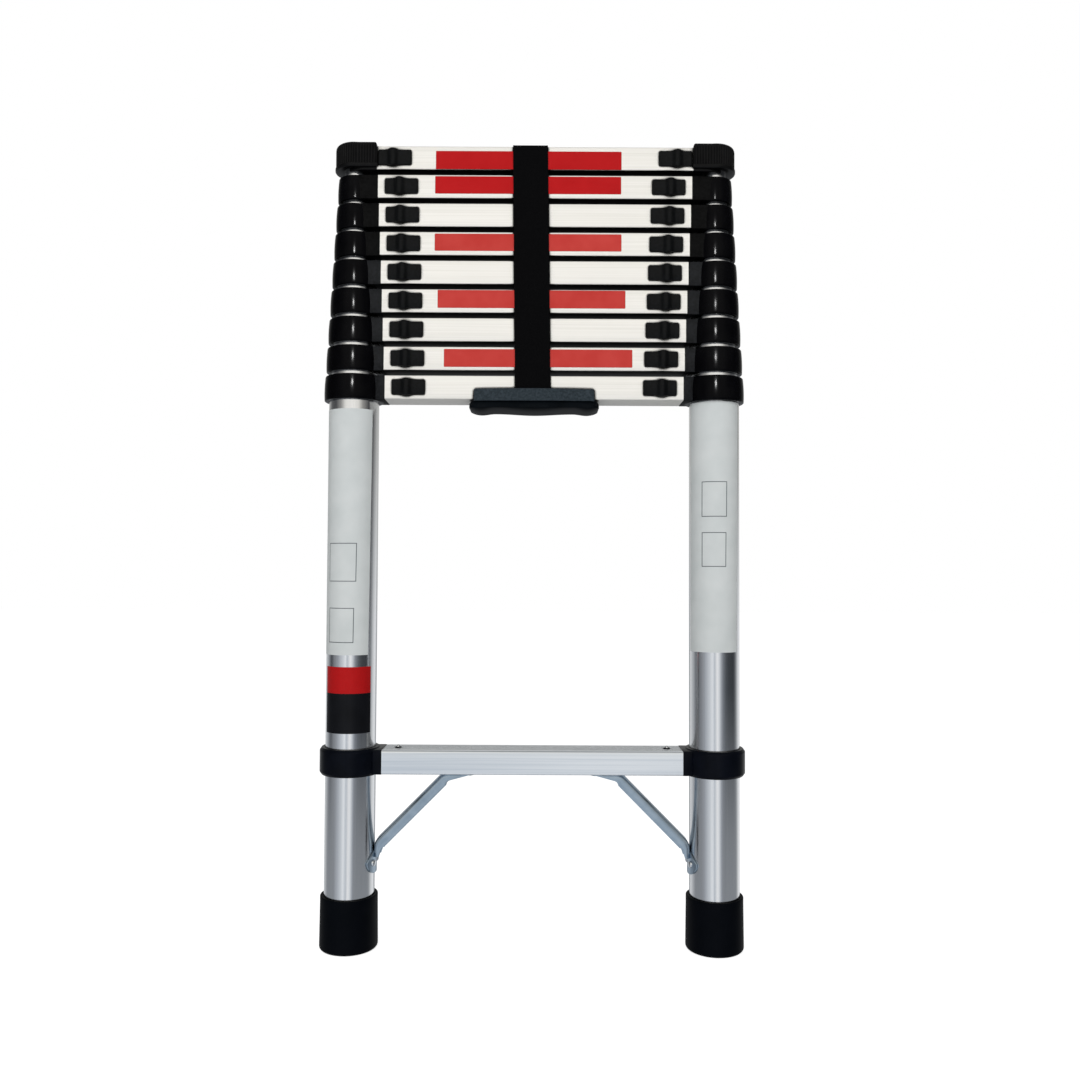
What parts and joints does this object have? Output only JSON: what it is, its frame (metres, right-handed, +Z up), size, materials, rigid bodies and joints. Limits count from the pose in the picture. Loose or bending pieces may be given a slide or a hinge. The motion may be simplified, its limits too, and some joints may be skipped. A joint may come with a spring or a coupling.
{
  "type": "telescoping ladder",
  "caption": "Closed telescoping ladder: nested round aluminium stiles, stacked box rungs with thumb latches, fixed bottom rung with braces, strap, handle and rubber feet.",
  "frame": {"origin": "on the floor, midway between the two feet", "axes": "+Z up the stiles; +X across the ladder, to the right seen from the climber's side; -Y towards the climber"},
  "size_m": [0.4852, 0.0692, 0.9185],
  "materials": {
    "tube_aluminium": "satin extruded",
    "rung_aluminium": "bright satin extruded",
    "connector_nylon": "glossy moulded, black",
    "latch_plastic": "satin moulded, black",
    "handle_plastic": "grained moulded, black",
    "foot_rubber": "matt moulded, black",
    "brace_zinc": "zinc plated, pressed",
    "strap_webbing": "woven webbing, black"
  },
  "bodies": {
    "section_1": {"tubes_1": "tube_aluminium", "connectors_1": "connector_nylon", "rung_02": "rung_aluminium", "rung_01": "rung_aluminium", "rung_clamps": "connector_nylon", "feet": "foot_rubber", "braces": "brace_zinc", "handle": "handle_plastic"},
    "section_2": {"tubes_2": "tube_aluminium", "connectors_2": "connector_nylon", "rung_03": "rung_aluminium"},
    "section_3": {"tubes_3": "tube_aluminium", "connectors_3": "connector_nylon", "rung_04": "rung_aluminium"},
    "section_4": {"tubes_4": "tube_aluminium", "connectors_4": "connector_nylon", "rung_05": "rung_aluminium"},
    "section_5": {"tubes_5": "tube_aluminium", "connectors_5": "connector_nylon", "rung_06": "rung_aluminium"},
    "section_6": {"tubes_6": "tube_aluminium", "connectors_6": "connector_nylon", "rung_07": "rung_aluminium"},
    "section_7": {"tubes_7": "tube_aluminium", "connectors_7": "connector_nylon", "rung_08": "rung_aluminium"},
    "section_8": {"tubes_8": "tube_aluminium", "connectors_8": "connector_nylon", "rung_09": "rung_aluminium"},
    "section_9": {"tubes_9": "tube_aluminium", "top_caps": "connector_nylon", "rung_10": "rung_aluminium", "strap": "strap_webbing"},
    "latch_02_left": {"latch_02_left": "latch_plastic"},
    "latch_02_right": {"latch_02_right": "latch_plastic"},
    "latch_03_left": {"latch_03_left": "latch_plastic"},
    "latch_03_right": {"latch_03_right": "latch_plastic"},
    "latch_04_left": {"latch_04_left": "latch_plastic"},
    "latch_04_right": {"latch_04_right": "latch_plastic"},
    "latch_05_left": {"latch_05_left": "latch_plastic"},
    "latch_05_right": {"latch_05_right": "latch_plastic"},
    "latch_06_left": {"latch_06_left": "latch_plastic"},
    "latch_06_right": {"latch_06_right": "latch_plastic"},
    "latch_07_left": {"latch_07_left": "latch_plastic"},
    "latch_07_right": {"latch_07_right": "latch_plastic"},
    "latch_08_left": {"latch_08_left": "latch_plastic"},
    "latch_08_right": {"latch_08_right": "latch_plastic"},
    "latch_09_left": {"latch_09_left": "latch_plastic"},
    "latch_09_right": {"latch_09_right": "latch_plastic"},
    "latch_10_left": {"latch_10_left": "latch_plastic"},
    "latch_10_right": {"latch_10_right": "latch_plastic"}
  },
  "joints": [
    {"name": "draw_out_2", "type": "slide", "parent": "section_1", "child": "section_2", "axis": [0, 0, 1], "range_m": [0, 0.26]},
    {"name": "draw_out_3", "type": "slide", "parent": "section_2", "child": "section_3", "axis": [0, 0, 1], "range_m": [0, 0.26]},
    {"name": "draw_out_4", "type": "slide", "parent": "section_3", "child": "section_4", "axis": [0, 0, 1], "range_m": [0, 0.26]},
    {"name": "draw_out_5", "type": "slide", "parent": "section_4", "child": "section_5", "axis": [0, 0, 1], "range_m": [0, 0.26]},
    {"name": "draw_out_6", "type": "slide", "parent": "section_5", "child": "section_6", "axis": [0, 0, 1], "range_m": [0, 0.26]},
    {"name": "draw_out_7", "type": "slide", "parent": "section_6", "child": "section_7", "axis": [0, 0, 1], "range_m": [0, 0.26]},
    {"name": "draw_out_8", "type": "slide", "parent": "section_7", "child": "section_8", "axis": [0, 0, 1], "range_m": [0, 0.26]},
    {"name": "draw_out_9", "type": "slide", "parent": "section_8", "child": "section_9", "axis": [0, 0, 1], "range_m": [0, 0.26]},
    {"name": "latch_02_left_slide", "type": "slide", "parent": "section_1", "child": "latch_02_left", "axis": [1, 0, 0], "range_m": [0, 0.006], "stiffness_N_per_m": 300, "springref_m": -0.004},
    {"name": "latch_02_right_slide", "type": "slide", "parent": "section_1", "child": "latch_02_right", "axis": [-1, 0, 0], "range_m": [0, 0.006], "stiffness_N_per_m": 300, "springref_m": -0.004},
    {"name": "latch_03_left_slide", "type": "slide", "parent": "section_2", "child": "latch_03_left", "axis": [1, 0, 0], "range_m": [0, 0.006], "stiffness_N_per_m": 300, "springref_m": -0.004},
    {"name": "latch_03_right_slide", "type": "slide", "parent": "section_2", "child": "latch_03_right", "axis": [-1, 0, 0], "range_m": [0, 0.006], "stiffness_N_per_m": 300, "springref_m": -0.004},
    {"name": "latch_04_left_slide", "type": "slide", "parent": "section_3", "child": "latch_04_left", "axis": [1, 0, 0], "range_m": [0, 0.006], "stiffness_N_per_m": 300, "springref_m": -0.004},
    {"name": "latch_04_right_slide", "type": "slide", "parent": "section_3", "child": "latch_04_right", "axis": [-1, 0, 0], "range_m": [0, 0.006], "stiffness_N_per_m": 300, "springref_m": -0.004},
    {"name": "latch_05_left_slide", "type": "slide", "parent": "section_4", "child": "latch_05_left", "axis": [1, 0, 0], "range_m": [0, 0.006], "stiffness_N_per_m": 300, "springref_m": -0.004},
    {"name": "latch_05_right_slide", "type": "slide", "parent": "section_4", "child": "latch_05_right", "axis": [-1, 0, 0], "range_m": [0, 0.006], "stiffness_N_per_m": 300, "springref_m": -0.004},
    {"name": "latch_06_left_slide", "type": "slide", "parent": "section_5", "child": "latch_06_left", "axis": [1, 0, 0], "range_m": [0, 0.006], "stiffness_N_per_m": 300, "springref_m": -0.004},
    {"name": "latch_06_right_slide", "type": "slide", "parent": "section_5", "child": "latch_06_right", "axis": [-1, 0, 0], "range_m": [0, 0.006], "stiffness_N_per_m": 300, "springref_m": -0.004},
    {"name": "latch_07_left_slide", "type": "slide", "parent": "section_6", "child": "latch_07_left", "axis": [1, 0, 0], "range_m": [0, 0.006], "stiffness_N_per_m": 300, "springref_m": -0.004},
    {"name": "latch_07_right_slide", "type": "slide", "parent": "section_6", "child": "latch_07_right", "axis": [-1, 0, 0], "range_m": [0, 0.006], "stiffness_N_per_m": 300, "springref_m": -0.004},
    {"name": "latch_08_left_slide", "type": "slide", "parent": "section_7", "child": "latch_08_left", "axis": [1, 0, 0], "range_m": [0, 0.006], "stiffness_N_per_m": 300, "springref_m": -0.004},
    {"name": "latch_08_right_slide", "type": "slide", "parent": "section_7", "child": "latch_08_right", "axis": [-1, 0, 0], "range_m": [0, 0.006], "stiffness_N_per_m": 300, "springref_m": -0.004},
    {"name": "latch_09_left_slide", "type": "slide", "parent": "section_8", "child": "latch_09_left", "axis": [1, 0, 0], "range_m": [0, 0.006], "stiffness_N_per_m": 300, "springref_m": -0.004},
    {"name": "latch_09_right_slide", "type": "slide", "parent": "section_8", "child": "latch_09_right", "axis": [-1, 0, 0], "range_m": [0, 0.006], "stiffness_N_per_m": 300, "springref_m": -0.004},
    {"name": "latch_10_left_slide", "type": "slide", "parent": "section_9", "child": "latch_10_left", "axis": [1, 0, 0], "range_m": [0, 0.006], "stiffness_N_per_m": 300, "springref_m": -0.004},
    {"name": "latch_10_right_slide", "type": "slide", "parent": "section_9", "child": "latch_10_right", "axis": [-1, 0, 0], "range_m": [0, 0.006], "stiffness_N_per_m": 300, "springref_m": -0.004}
  ]
}
